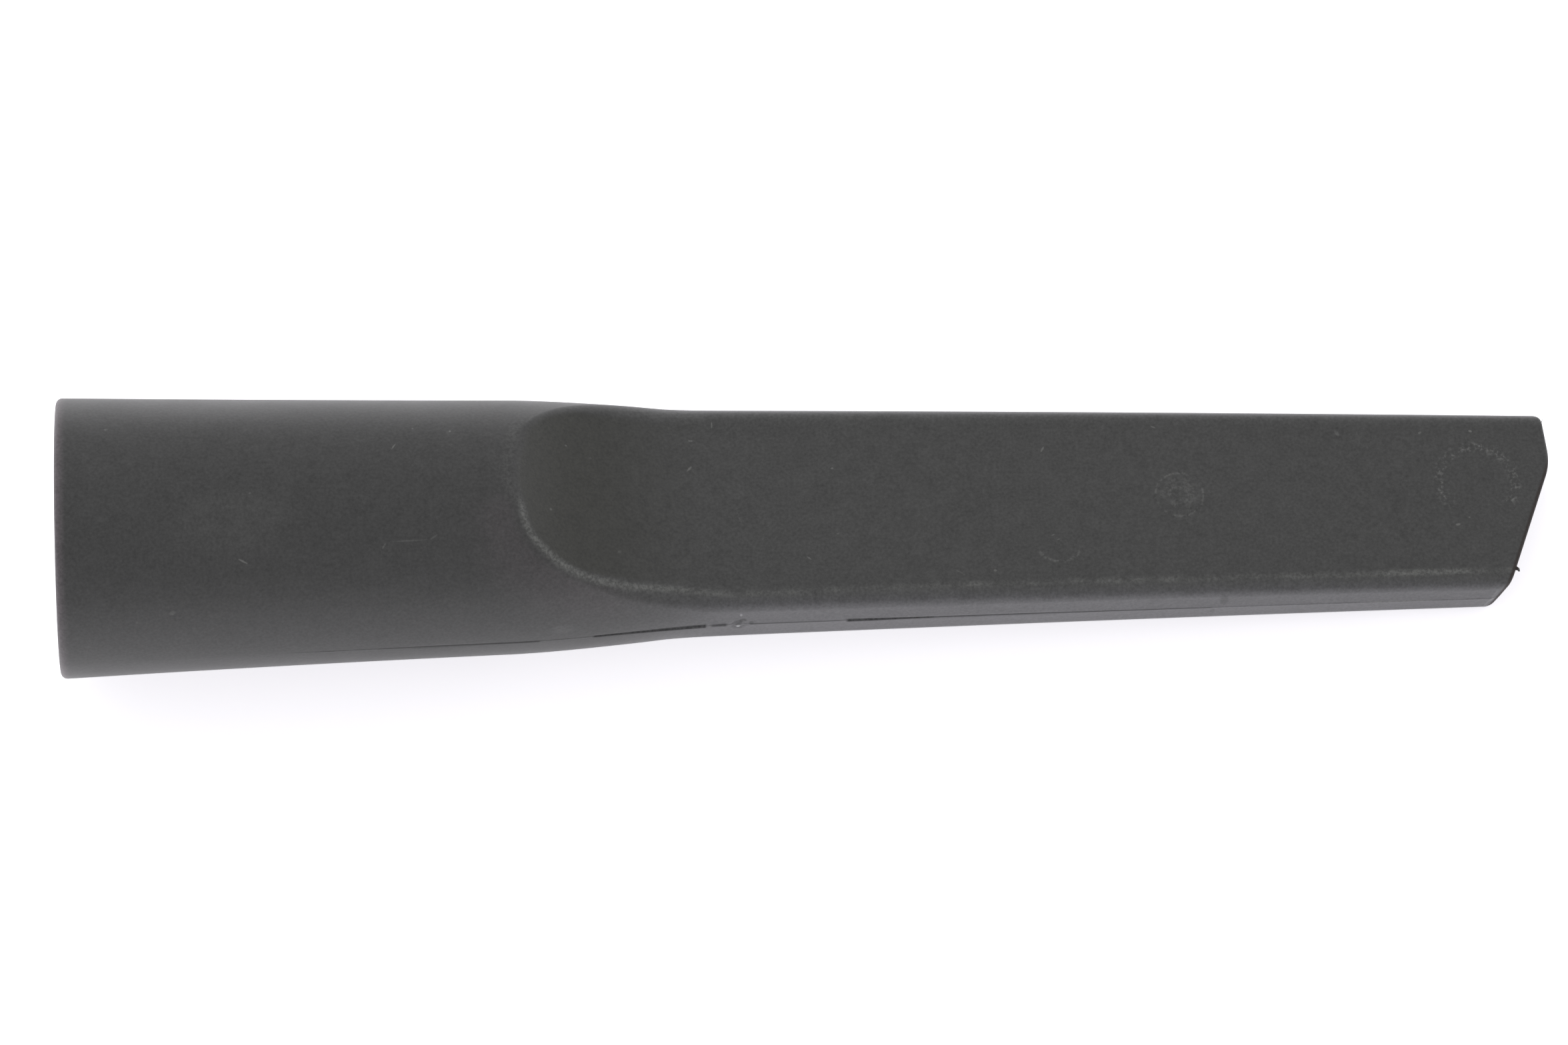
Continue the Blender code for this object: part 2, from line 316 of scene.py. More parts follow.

# Painted shade: a dark line where the near side's flash has been pared, for the shade in the pared groove and
# under the step between the halves. In millimetres: start, end, half its height at both, and how strong it is.
# It is full inside the core, soft at its ends, and weaker between the speckles.
SEAM_LINES = (
    (44.0, 67.2, 0.08, 0.30, 0.6),
    (74.2, 90.5, 0.30, 0.66, 1.0),
    (90.8, 93.4, 0.46, 0.56, 0.7),
    (96.3, 109.4, 0.20, 0.14, 0.4),
    (109.8, 122.6, 0.54, 0.24, 1.0),
    (121.6, 161.6, 0.22, 0.08, 0.7),
)
CUT_CORE = 0.6
CUT_END = 0.5
CUT_SHARE = 0.7

# Other stretches of the parting line: bright on the near side, and here and there dark on the far side
BRIGHT_SEAM_HEIGHT = (0.1, 0.2)
BRIGHT_SEAM_ALONG = (182.0, 194.0, 3.0)
BRIGHT_SEAM_SHARE = 0.8
FAR_SEAM_HEIGHT = (0.0, 0.16)
FAR_SEAM_PATCHES = (0.45, 0.6)
FAR_SEAM_SHARE = 0.5

# Flecks all over: cells to a millimetre, a fleck's radius in cells, which cells have one, and how strong
FLECK_CELLS = 0.16
FLECK_RADIUS = 0.055
FLECK_CHANCE = (0.6, 1.0)
FLECK_SHARE = 0.6

# Scuffs on the upper face, in millimetres along the axis and across it: x, y, half length, half width, the
# angle of the length to the axis in degrees, and how strong each is. A spot is full inside its core.
SPOT_CORE = 0.4
SCUFFS = (
    (25.9, -11.4, 0.85, 0.15, -23.0, 0.9),
    (45.4, -9.8, 0.60, 0.16, 52.0, 0.36),
    (48.9, -9.2, 3.10, 0.15, 2.0, 0.30),
    (52.3, -8.8, 0.75, 0.15, 28.0, 0.32),
    (47.0, 4.4, 0.70, 0.14, 60.0, 0.7),
    (54.9, 7.1, 0.22, 0.20, 0.0, 0.8),
    (49.7, 7.7, 0.20, 0.16, 0.0, 0.6),
    (24.5, -6.4, 11.0, 6.0, 4.0, 0.09),
    (27.0, -2.7, 0.24, 0.18, 30.0, 0.6),
    (16.0, -16.5, 0.60, 0.24, 10.0, 0.4),
    (7.2, 8.1, 0.36, 0.22, 0.0, 0.5),
    (91.9, 12.5, 0.60, 0.14, 90.0, 0.7),
    (88.5, 5.5, 0.70, 0.20, 50.0, 0.7),
    (88.8, 9.9, 0.45, 0.20, 0.0, 0.6),
    (78.2, -8.4, 0.40, 0.28, 30.0, 0.25),
    (71.1, 6.6, 0.22, 0.18, 0.0, 0.6),
    (104.8, -8.4, 0.50, 0.16, -40.0, 0.6),
    (108.6, 5.5, 0.28, 0.18, 15.0, 0.6),
    (109.0, -4.7, 0.25, 0.15, 0.0, 0.5),
    (126.0, -11.0, 1.10, 0.20, -35.0, 0.2),
    (130.8, -10.7, 0.30, 0.26, 0.0, 0.8),
    (138.4, 8.1, 0.60, 0.20, 62.0, 0.7),
    (139.2, -5.3, 0.35, 0.10, 25.0, 0.6),
    (139.9, -6.0, 0.35, 0.10, 25.0, 0.5),
    (154.3, 11.4, 0.45, 0.14, -25.0, 0.6),
    (180.3, 10.2, 0.70, 0.35, -60.0, 0.5),
    (192.1, 10.2, 0.35, 0.22, 40.0, 0.6),
    (199.3, 10.4, 0.35, 0.22, -20.0, 0.8),
    (196.5, -4.2, 0.45, 0.25, 10.0, 0.7),
    (198.2, -3.1, 0.20, 0.18, 0.0, 0.6),
)

# Parts of rings that ejector pins and rubbing have left: x, y, radius, half width, where each starts and how
# far it goes in degrees round the ring, how strong it is, and how broken up
RING_END = 0.3  # how soft a part's ends are, in radians
BROKEN_BELOW = 0.02
BROKEN_ABOVE = 0.14
RINGS = (
    (157.4, 0.8, 3.35, 0.28, 60.0, 330.0, 0.40, 0.44),
    (157.4, 0.8, 1.50, 2.00, -150.0, 350.0, 0.22, 0.46),
    (199.7, 2.5, 5.4, 1.25, -50.0, 280.0, 0.7, 0.50),
    (99.4, -0.7, 4.4, 0.20, 140.0, 80.0, 0.3, 0.46),
    (140.0, -6.0, 3.4, 0.34, 205.0, 130.0, 0.45, 0.41),
)

# Marks on the near side, in millimetres along the axis and up from the parting line: x, z, half length, half
# height, how strong each is, and whether it is light
SIDE_MARKS = (
    (94.8, -0.35, 0.38, 0.75, 1.0, True),
    (95.1, 2.80, 0.26, 0.50, 0.3, True),
    (95.4, 1.15, 0.75, 0.75, 1.0, False),
    (96.6, 0.40, 0.45, 0.75, 0.7, False),
    (163.0, 2.10, 0.85, 1.80, 0.50, False),
    (161.6, -1.20, 0.50, 1.00, 0.40, False),
    (70.3, 2.8, 2.30, 1.40, 0.03, True),
)


def mix(a, b, share):
    """The value that lies the given share of the way from a to b."""
    return a + (b - a) * share


def smooth_step(start, end, x):
    """0 up to start, 1 from end on, with a level tangent at both."""
    share = np.clip((x - start) / (end - start), 0.0, 1.0)
    return share * share * (3.0 - 2.0 * share)


def bell(x, half_width):
    """1 at zero, falling smoothly to nothing over about two half widths."""
    return np.exp(-((x / half_width) ** 2))


def socket_radius(x):
    """The round socket's outer radius: a parabola through the rim, the middle and the neck."""
    share = x / NECK_X
    middle = MID_X / NECK_X
    bend = (MID_RADIUS - mix(RIM_RADIUS, NECK_RADIUS, middle)) / (middle * (1.0 - middle))
    return mix(RIM_RADIUS, NECK_RADIUS, share) + bend * share * (1.0 - share)


def wall(x):
    """Thickness of the wall, which thins a little from the rim to the mouth."""
    return mix(SOCKET_WALL, MOUTH_WALL, x / LENGTH)


def nozzle_share(x):
    """How far x lies from the flat nozzle's start to its mouth, from 0 to 1."""
    return (x - NOZZLE_X) / (LENGTH - NOZZLE_X)


def half_width(x, depth):
    """Half the width at the parting plane. At depth 0 it is the outer skin's, and at depth 1 the duct's."""
    nozzle = mix(NOZZLE_HALF_WIDTH, MOUTH_HALF_WIDTH, nozzle_share(x))
    return mix(socket_radius(x), nozzle, smooth_step(NARROWING_X, NOZZLE_X, x)) - depth * wall(x)


FALL = math.atan((NOZZLE_HALF_THICKNESS - MOUTH_HALF_THICKNESS) / (LENGTH - NOZZLE_X))


def scoop_arc():
    """The arc from the socket's top down into the broad face: its centre's x and z, and its radius."""
    back = SCOOP_X - NOZZLE_X
    rise = float(half_width(SCOOP_X, 0.0)) - NOZZLE_HALF_THICKNESS
    radius = (back * back + rise * rise) / 2.0 / (back * math.sin(FALL) + rise * math.cos(FALL))
    centre_z = NOZZLE_HALF_THICKNESS + radius * math.cos(FALL)
    return NOZZLE_X + radius * math.sin(FALL), centre_z, radius


ARC_X, ARC_Z, ARC_RADIUS = scoop_arc()


def scoop_start(depth):
    """Where the scoop's arc leaves the top of the round skin."""
    rise = ARC_Z - float(half_width(SCOOP_X, depth))
    return ARC_X - math.sqrt((ARC_RADIUS + depth * float(wall(SCOOP_X))) ** 2 - rise * rise)


def side_gap(x, y, z, depth):
    """Distance outside the side wall, which is round on the socket and nearly upright on the nozzle."""
    width = half_width(x, depth)
    flat = smooth_step(FLATTENING_X, NOZZLE_X, x)
    across = np.abs(y)
    height = np.abs(z)
    round_side = np.sqrt(np.maximum(width * width - height * height, SMALL_STEP * SMALL_STEP))
    side = mix(round_side, width - SIDE_DRAFT * height, flat)
    slope = mix(height / round_side, SIDE_DRAFT, flat)
    flat_gap = (across - side) / np.sqrt(1.0 + slope * slope)
    return np.where(flat > 0.0, flat_gap, np.hypot(across, height) - width)


def floor_gap(x, z, depth):
    """Distance outside the broad face, or outside the scoop that runs down to it."""
    height = np.abs(z)
    scoop = ARC_RADIUS + depth * wall(x) - np.hypot(ARC_X - x, ARC_Z - height)
    face = mix(NOZZLE_HALF_THICKNESS, MOUTH_HALF_THICKNESS, nozzle_share(x)) - depth * wall(x)
    return np.where(x < NOZZLE_X, scoop, (height - face) * math.cos(FALL))


def edge_rounding(x, y, depth):
    """Radius of the rounded edge between the side and the scoop or broad face."""
    first = mix(APEX_ROUNDING, TIGHT_ROUNDING, smooth_step(APEX_HALF_WIDTH, TIGHT_FROM, np.abs(y)))
    full = mix(NOZZLE_EDGE_RADIUS, MOUTH_EDGE_RADIUS, np.clip(nozzle_share(x), 0.0, 1.0))
    radius = mix(first, full, smooth_step(SCOOP_X, NOZZLE_X, x))
    return np.maximum(radius - depth * wall(x), mix(TIGHT_ROUNDING, SMALLEST_EDGE_RADIUS, depth))


def pared(x):
    """1 along the stretches of the parting line that a knife has pared, else 0."""
    share = 0.0
    for start, end in PARED_STRETCHES:
        begun = smooth_step(start, start + PARED_START, x)
        share = share + begun * (1.0 - smooth_step(end - PARED_RUN_OUT, end, x))
    return share


def seam_relief(x, y, z):
    """How far the skin stands out along the parting line: flash, a step between the halves, pared flats."""
    waver = FLASH_SHARE + sum(share * np.sin(x * rate + phase) for share, rate, phase in FLASH_WAVES)
    near = np.where(y < 0.0, pared(x), 0.0)
    shown = np.where(y < 0.0, smooth_step(*NEAR_SEAM_START, x), 1.0)
    ridge = FLASH_HEIGHT * waver * bell(z, FLASH_HALF_WIDTH) * (1.0 - near) * shown
    step = smooth_step(-MOULD_STEP_HALF_WIDTH, MOULD_STEP_HALF_WIDTH, -z)
    step = MOULD_STEP * step * bell(z, MOULD_STEP_REACH) * shown
    flat = -PARED_DEPTH * near * bell(z, PARED_HALF_HEIGHT)
    away = np.hypot(x - GATE_X, z - GATE_Z) / GATE_RADIUS
    gate = STUB_HEIGHT * bell(away, STUB_SPREAD) - MOAT_DEPTH * bell(away - 1.0, MOAT_SPREAD)
    return ridge + step + flat + np.where(y < 0.0, gate, 0.0)


def skin(x, y, z, depth):
    """Distance outside the moulding's outer skin at depth 0, or outside its duct at depth 1."""
    side = side_gap(x, y, z, depth)
    floor = floor_gap(x, z, depth)
    radius = edge_rounding(x, y, depth)
    rounded = np.hypot(np.maximum(side + radius, 0.0), np.maximum(floor + radius, 0.0))
    gap = np.minimum(np.maximum(side, floor) + radius, 0.0) + rounded - radius
    return gap - (1.0 - depth) * seam_relief(x, y, z)


def reach(x, angle, depth, level):
    """Length of the ray at this angle round the axis, out to the given level of the skin's distance."""
    low = np.full(np.broadcast(x, angle).shape, SHORTEST_RAY)
    high = np.full_like(low, LONGEST_RAY)
    for _ in range(BISECTIONS):
        middle = (low + high) / 2.0
        outside = skin(x, middle * np.cos(angle), middle * np.sin(angle), depth) > level
        high = np.where(outside, middle, high)
        low = np.where(outside, low, middle)
    return (low + high) / 2.0


def edge_angle(x, depth):
    """Angle round the axis where the side meets the scoop or face: a right angle before the scoop."""
    width = float(half_width(x, depth))
    if x >= NOZZLE_X:
        height = mix(NOZZLE_HALF_THICKNESS, MOUTH_HALF_THICKNESS, nozzle_share(x)) - depth * float(wall(x))
    else:
        radius = ARC_RADIUS + depth * float(wall(x))
        height = ARC_Z - math.sqrt(max(radius * radius - (ARC_X - x) ** 2, 0.0))
    if height >= width:
        return math.pi / 2.0
    flat = float(smooth_step(FLATTENING_X, NOZZLE_X, x))
    return math.atan2(height, mix(math.sqrt(width * width - height * height), width, flat))


def column_angles(x, depth):
    """Angles of a quarter's columns at x, which crowd at the parting line and at the upper edge."""
    rays = np.linspace(0.0, math.pi / 2.0, RAY_SAMPLES)
    lengths = reach(x, rays, depth, 0.0)
    across = lengths * np.cos(rays)
    height = lengths * np.sin(rays)
    along = np.concatenate(([0.0], np.cumsum(np.hypot(np.diff(across), np.diff(height)))))
    edge = np.interp(edge_angle(x, depth), rays, along)
    near_scoop = smooth_step(*(scoop_start(depth) - lead for lead in CROWDING_LEAD), x)
    density = 1.0 + near_scoop * EDGE_CROWDING[0] * bell(along - edge, EDGE_CROWDING[1])
    density = density + SEAM_CROWDING[0] * bell(along, SEAM_CROWDING[1])
    count = np.concatenate(([0.0], np.cumsum((density[1:] + density[:-1]) / 2.0 * np.diff(along))))
    wanted = np.linspace(0.0, count[-1], QUARTER_COLUMNS + 1)
    return np.interp(wanted, count, rays)


def full_turn(quarter):
    """A whole turn of angles from a quarter of them."""
    upper = np.concatenate((quarter, math.pi - quarter[-2::-1]))
    return np.concatenate((upper, math.tau - upper[-2:0:-1]))


def fillet(corner, before, after, radius):
    """Points of the arc that rounds the corner between the points before and after it."""
    ways = [(point - corner) / np.linalg.norm(point - corner) for point in (before, after)]
    half_angle = math.acos(float(ways[0] @ ways[1])) / 2.0
    bisector = (ways[0] + ways[1]) / np.linalg.norm(ways[0] + ways[1])
    centre = corner + bisector * radius / math.sin(half_angle)
    touches = [corner + way * radius / math.tan(half_angle) - centre for way in ways]
    start, end = [math.atan2(touch[1], touch[0]) for touch in touches]
    angles = start + math.remainder(end - start, math.tau) * np.linspace(0.0, 1.0, FILLET_STEPS + 1)
    return centre + radius * np.stack((np.cos(angles), np.sin(angles)), axis=1)


def mouth_outline():
    """The mouth's edge seen from above, as rows of x and y from the near side to the far one."""
    side = MOUTH_HALF_WIDTH
    taper = (NOZZLE_HALF_WIDTH - MOUTH_HALF_WIDTH) / (LENGTH - NOZZLE_X)
    apex = np.array((LENGTH, APEX_Y))
    far_corner = np.array((LENGTH - FAR_SLOPE * (side - APEX_Y), side))
    near_corner = np.array((LENGTH - NEAR_SLANT * (side + APEX_Y), -side))
    far_side = np.array((NOZZLE_X, side + (LENGTH - NOZZLE_X) * taper))
    near_side = far_side * (1.0, -1.0)
    outline = [fillet(near_corner, near_side, apex, CORNER_RADIUS)]
    outline.append(fillet(apex, near_corner, far_corner, APEX_RADIUS))
    outline.append(fillet(far_corner, apex, far_side, CORNER_RADIUS))
    return np.concatenate(outline)


OUTLINE = mouth_outline()
RIM_FACING = np.array((-1.0, 0.0, 0.0))


def mouth_x(y):
    """Where the mouth's edge is, at the given place across the width."""
    return np.interp(y, OUTLINE[:, 1], OUTLINE[:, 0])


def mouth_facing(y):
    """The way the mouth's end face looks, at the given place across the width."""
    slope = (mouth_x(y + SLOPE_STEP) - mouth_x(y - SLOPE_STEP)) / (2.0 * SLOPE_STEP)
    facing = np.stack((np.ones_like(y), -slope, np.full_like(y, -MOUTH_RAKE)), axis=1)
    return facing / np.linalg.norm(facing, axis=1)[:, None]


def gradient(x, y, z, depth):
    """The way the skin looks: the unit direction in which its distance grows."""
    h = SMALL_STEP
    rows = (
        skin(x + h, y, z, depth) - skin(x - h, y, z, depth),
        skin(x, y + h, z, depth) - skin(x, y - h, z, depth),
        skin(x, y, z + h, depth) - skin(x, y, z - h, depth),
    )
    way = np.stack(rows, axis=1)
    return way / np.linalg.norm(way, axis=1)[:, None]


class Rings:
    """Rings of points round the axis, with the way each looks and how far it is from the edge's line."""

    def __init__(self):
        self.points = []
        self.facings = []
        self.edges = []

    def add(self, x, angles, depth, level=0.0, end_facing=None, end_share=0.0):
        """Add a ring at x, one value or one for each column. The facing leans to end_facing by end_share."""
        x = np.broadcast_to(x, angles.shape).astype(float)
        rays = reach(x, angles, depth, level)
        y = rays * np.cos(angles)
        z = rays * np.sin(angles)
        facing = gradient(x, y, z, depth) * (1.0 - 2.0 * depth)
        if end_facing is not None:
            facing = facing * math.sqrt(max(1.0 - end_share * end_share, 0.0)) + end_facing * end_share
            facing = facing / np.linalg.norm(facing, axis=1)[:, None]
        self.points.append(np.stack((x, y, z), axis=1))
        self.facings.append(facing)
        self.edges.append(edge_place(x, y, z, depth))


def edge_place(x, y, z, depth):
    """Distance across the edge's burnished line, positive on the side wall; far away in the duct."""
    radius = edge_rounding(x, y, depth)
    across = side_gap(x, y, z, depth) - floor_gap(x, z, depth)
    return across + radius * smooth_step(TIGHT_ROUNDING, FULL_ROUNDING, radius) + depth


def sheared_x(angles, depth, level, share, back):
    """Where each column is, the given share of the way from the last square section to the mouth's edge."""
    x = np.full(angles.shape, SHEAR_X)
    for _ in range(SHEAR_ROUNDS):
        rays = reach(x, angles, depth, level)
        drop = MOUTH_HALF_THICKNESS - MOUTH_ROUNDING - rays * np.sin(angles)
        edge = mouth_x(rays * np.cos(angles)) - MOUTH_RAKE * drop - back
        x = (x + mix(SHEAR_X, edge, share)) / 2.0
    return x


def outer_stations():
    """Places of the outer skin's sections, close together where the scoop starts and at the gate's mark."""
    start = scoop_start(0.0)
    socket = np.linspace(RIM_ROUNDING, start - SCOOP_LEAD, SOCKET_SECTIONS)[1:-1]
    before = start - SCOOP_LEAD * np.linspace(1.0, 0.0, LEAD_SECTIONS) ** LEAD_CROWDING
    after = start + (NOZZLE_X - start) * np.linspace(0.0, 1.0, SCOOP_SECTIONS) ** SCOOP_CROWDING
    gate = GATE_X + np.linspace(-GATE_REACH, GATE_REACH, GATE_SECTIONS)
    nozzle = np.linspace(NOZZLE_X, SHEAR_X, NOZZLE_SECTIONS)[1:-1]
    pared_ends = np.ravel(PARED_STRETCHES)
    pared_ends = np.concatenate((pared_ends, pared_ends + PARED_SPACING))
    places = np.sort(np.concatenate((socket, before, after[1:], gate, nozzle, pared_ends)))
    return places[np.concatenate(([True], np.diff(places) > SMALLEST_SPACING))]


def evened_columns(stations):
    """The angles of a quarter's columns at every station, evened out along the axis."""
    columns = np.array([column_angles(x, 0.0) for x in stations])
    closeness = bell(stations[:, None] - stations[None, :], COLUMN_SMOOTHING) * np.gradient(stations)
    return closeness @ columns / closeness.sum(axis=1)[:, None]


def outer_rings(rings):
    """The rounded rim, the outer skin and the rounded mouth."""
    rim_angles = full_turn(column_angles(0.0, 0.0))
    for turn in np.linspace(0.0, math.pi / 2.0, OUTER_EDGE_STEPS + 1):
        x = RIM_ROUNDING * (1.0 - math.cos(turn))
        level = -RIM_ROUNDING * (1.0 - math.sin(turn))
        rings.add(x, rim_angles, 0.0, level, RIM_FACING, math.cos(turn))
    stations = outer_stations()
    for x, quarter in zip(stations, evened_columns(stations)):
        rings.add(x, full_turn(quarter), 0.0)
    angles = full_turn(column_angles(SHEAR_X, 0.0))
    for share in np.linspace(0.0, 1.0, SHEAR_STEPS + 1)[:-1]:
        rings.add(sheared_x(angles, 0.0, 0.0, share, MOUTH_ROUNDING), angles, 0.0)
    for turn in np.linspace(math.pi / 2.0, 0.0, OUTER_EDGE_STEPS + 1):
        level = -MOUTH_ROUNDING * (1.0 - math.sin(turn))
        x = sheared_x(angles, 0.0, level, 1.0, MOUTH_ROUNDING * (1.0 - math.cos(turn)))
        y = reach(x, angles, 0.0, level) * np.cos(angles)
        rings.add(x, angles, 0.0, level, mouth_facing(y), math.cos(turn))


def duct_rings(rings):
    """The duct, from the rounded inner edge of the mouth back to the rounded inner edge of the rim."""
    angles = full_turn(column_angles(SHEAR_X, 1.0))
    for turn in np.linspace(0.0, math.pi / 2.0, DUCT_EDGE_STEPS + 1):
        level = DUCT_ROUNDING * (1.0 - math.sin(turn))
        x = sheared_x(angles, 1.0, level, 1.0, DUCT_ROUNDING * (1.0 - math.cos(turn)))
        y = reach(x, angles, 1.0, level) * np.cos(angles)
        rings.add(x, angles, 1.0, level, mouth_facing(y), math.cos(turn))
    for share in np.linspace(1.0, 0.0, DUCT_SHEAR_STEPS + 1)[1:]:
        rings.add(sheared_x(angles, 1.0, 0.0, share, DUCT_ROUNDING), angles, 1.0)
    start = scoop_start(1.0)
    nozzle = np.linspace(SHEAR_X, NOZZLE_X, DUCT_NOZZLE_SECTIONS)[1:]
    scoop = start + (NOZZLE_X - start) * np.linspace(1.0, 0.0, DUCT_SCOOP_SECTIONS)[1:] ** SCOOP_CROWDING
    socket = start - (start - BORE_ROUNDING) * np.linspace(0.0, 1.0, BORE_SECTIONS)[1:] ** BORE_CROWDING
    for x in np.concatenate((nozzle, scoop, socket)):
        rings.add(x, full_turn(column_angles(x, 1.0)), 1.0)
    angles = full_turn(column_angles(0.0, 1.0))
    for turn in np.linspace(math.pi / 2.0, 0.0, BORE_EDGE_STEPS + 1)[1:]:
        x = BORE_ROUNDING * (1.0 - math.cos(turn))
        level = BORE_ROUNDING * (1.0 - math.sin(turn))
        rings.add(x, angles, 1.0, level, RIM_FACING, math.cos(turn))


def warped(points):
    """The points with the moulding's slight warp across its width, a parabola along its length."""
    share = points[:, 0] / LENGTH
    points = points.copy()
    points[:, 1] += WARP * 4.0 * share * (1.0 - share)
    return points


def resting_tilt():
    """Angle of the axis when the mouth's lower lip and the socket's underside touch the same plane."""
    lip_x = LENGTH - 2.0 * MOUTH_RAKE * MOUTH_HALF_THICKNESS
    lip_height = mix(NOZZLE_HALF_THICKNESS, MOUTH_HALF_THICKNESS, nozzle_share(lip_x))
    socket = np.linspace(0.0, SCOOP_X, TILT_SAMPLES)
    return float(np.max(np.arctan2(half_width(socket, 0.0) - lip_height, lip_x - socket)))


def laid_down(points, facings):
    """The points and facings as the moulding lies on the floor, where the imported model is."""
    low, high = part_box(NODE)
    turn = np.array(Matrix.Rotation(resting_tilt(), 3, "Y"))
    points = points @ turn.T
    points[:, 0] += (low.x + high.x - points[:, 0].min() - points[:, 0].max()) / 2.0
    points[:, 2] += low.z - points[:, 2].min()
    return points, facings @ turn.T


def flash_hair(route, half_width):
    """A tapered hair of flash along a route: its points, the way each looks, and its faces."""
    route = np.array(route)
    along = np.gradient(route, axis=0)
    along = along / np.linalg.norm(along, axis=1)[:, None]
    across = np.cross(along, (0.0, 0.0, 1.0))
    up = np.cross(across, along)
    turns = np.linspace(0.0, math.tau, HAIR_SIDES, endpoint=False)
    radii = half_width * np.linspace(1.0, HAIR_TIP, len(route)) ** HAIR_TAPER
    cosines = np.cos(turns)[None, :, None]
    sines = np.sin(turns)[None, :, None]
    facings = across[:, None, :] * cosines + up[:, None, :] * sines
    points = (route[:, None, :] + facings * radii[:, None, None]).reshape(-1, 3)
    index = np.arange(len(route) * HAIR_SIDES).reshape(len(route), HAIR_SIDES)
    turned = np.roll(index, -1, axis=1)
    quads = np.stack((index[:-1], index[1:], turned[1:], turned[:-1]), axis=2)
    faces = [*quads.reshape(-1, 4).tolist(), index[0].tolist(), index[-1][::-1].tolist()]
    return points, facings.reshape(-1, 3), faces


def ring_faces(count, columns):
    """The faces between each ring and the next, and between the last ring and the first."""
    index = np.arange(count * columns).reshape(count, columns)
    after = np.roll(index, -1, axis=0)
    quads = np.stack((index, np.roll(index, -1, axis=1), np.roll(after, -1, axis=1), after), axis=2)
    return quads.reshape(-1, 4).tolist()


def make_nozzle(material):
    """The moulding as one closed surface from the rim to the mouth and back, with two hairs of flash."""
    rings = Rings()
    outer_rings(rings)
    duct_rings(rings)
    own = np.concatenate(rings.points)
    facings = np.concatenate(rings.facings)
    edges = np.concatenate(rings.edges)
    faces = ring_faces(len(rings.points), len(rings.points[0]))
    for *route, root_half_width in FLASH_HAIRS:
        hair_points, hair_facings, hair_faces = flash_hair(route, root_half_width)
        faces.extend([[corner + len(own) for corner in face] for face in hair_faces])
        own = np.concatenate((own, hair_points))
        facings = np.concatenate((facings, hair_facings))
        edges = np.concatenate((edges, np.zeros(len(hair_points))))
    points, facings = laid_down(warped(own), facings)
    mesh = bpy.data.meshes.new("nozzle")
    mesh.from_pydata(points, [], faces)
    mesh.shade_smooth()
    mesh.normals_split_custom_set_from_vertices(facings)
    place = mesh.attributes.new("own_place", "FLOAT_VECTOR", "POINT")
    place.data.foreach_set("vector", (own * MILLIMETRES).astype(np.float32).ravel())
    edge = mesh.attributes.new("edge_place", "FLOAT", "POINT")
    edge.data.foreach_set("value", (edges * MILLIMETRES).astype(np.float32))
    mesh.materials.append(material)
    nozzle = bpy.data.objects.new("nozzle", mesh)
    bpy.context.scene.collection.objects.link(nozzle)
    return nozzle


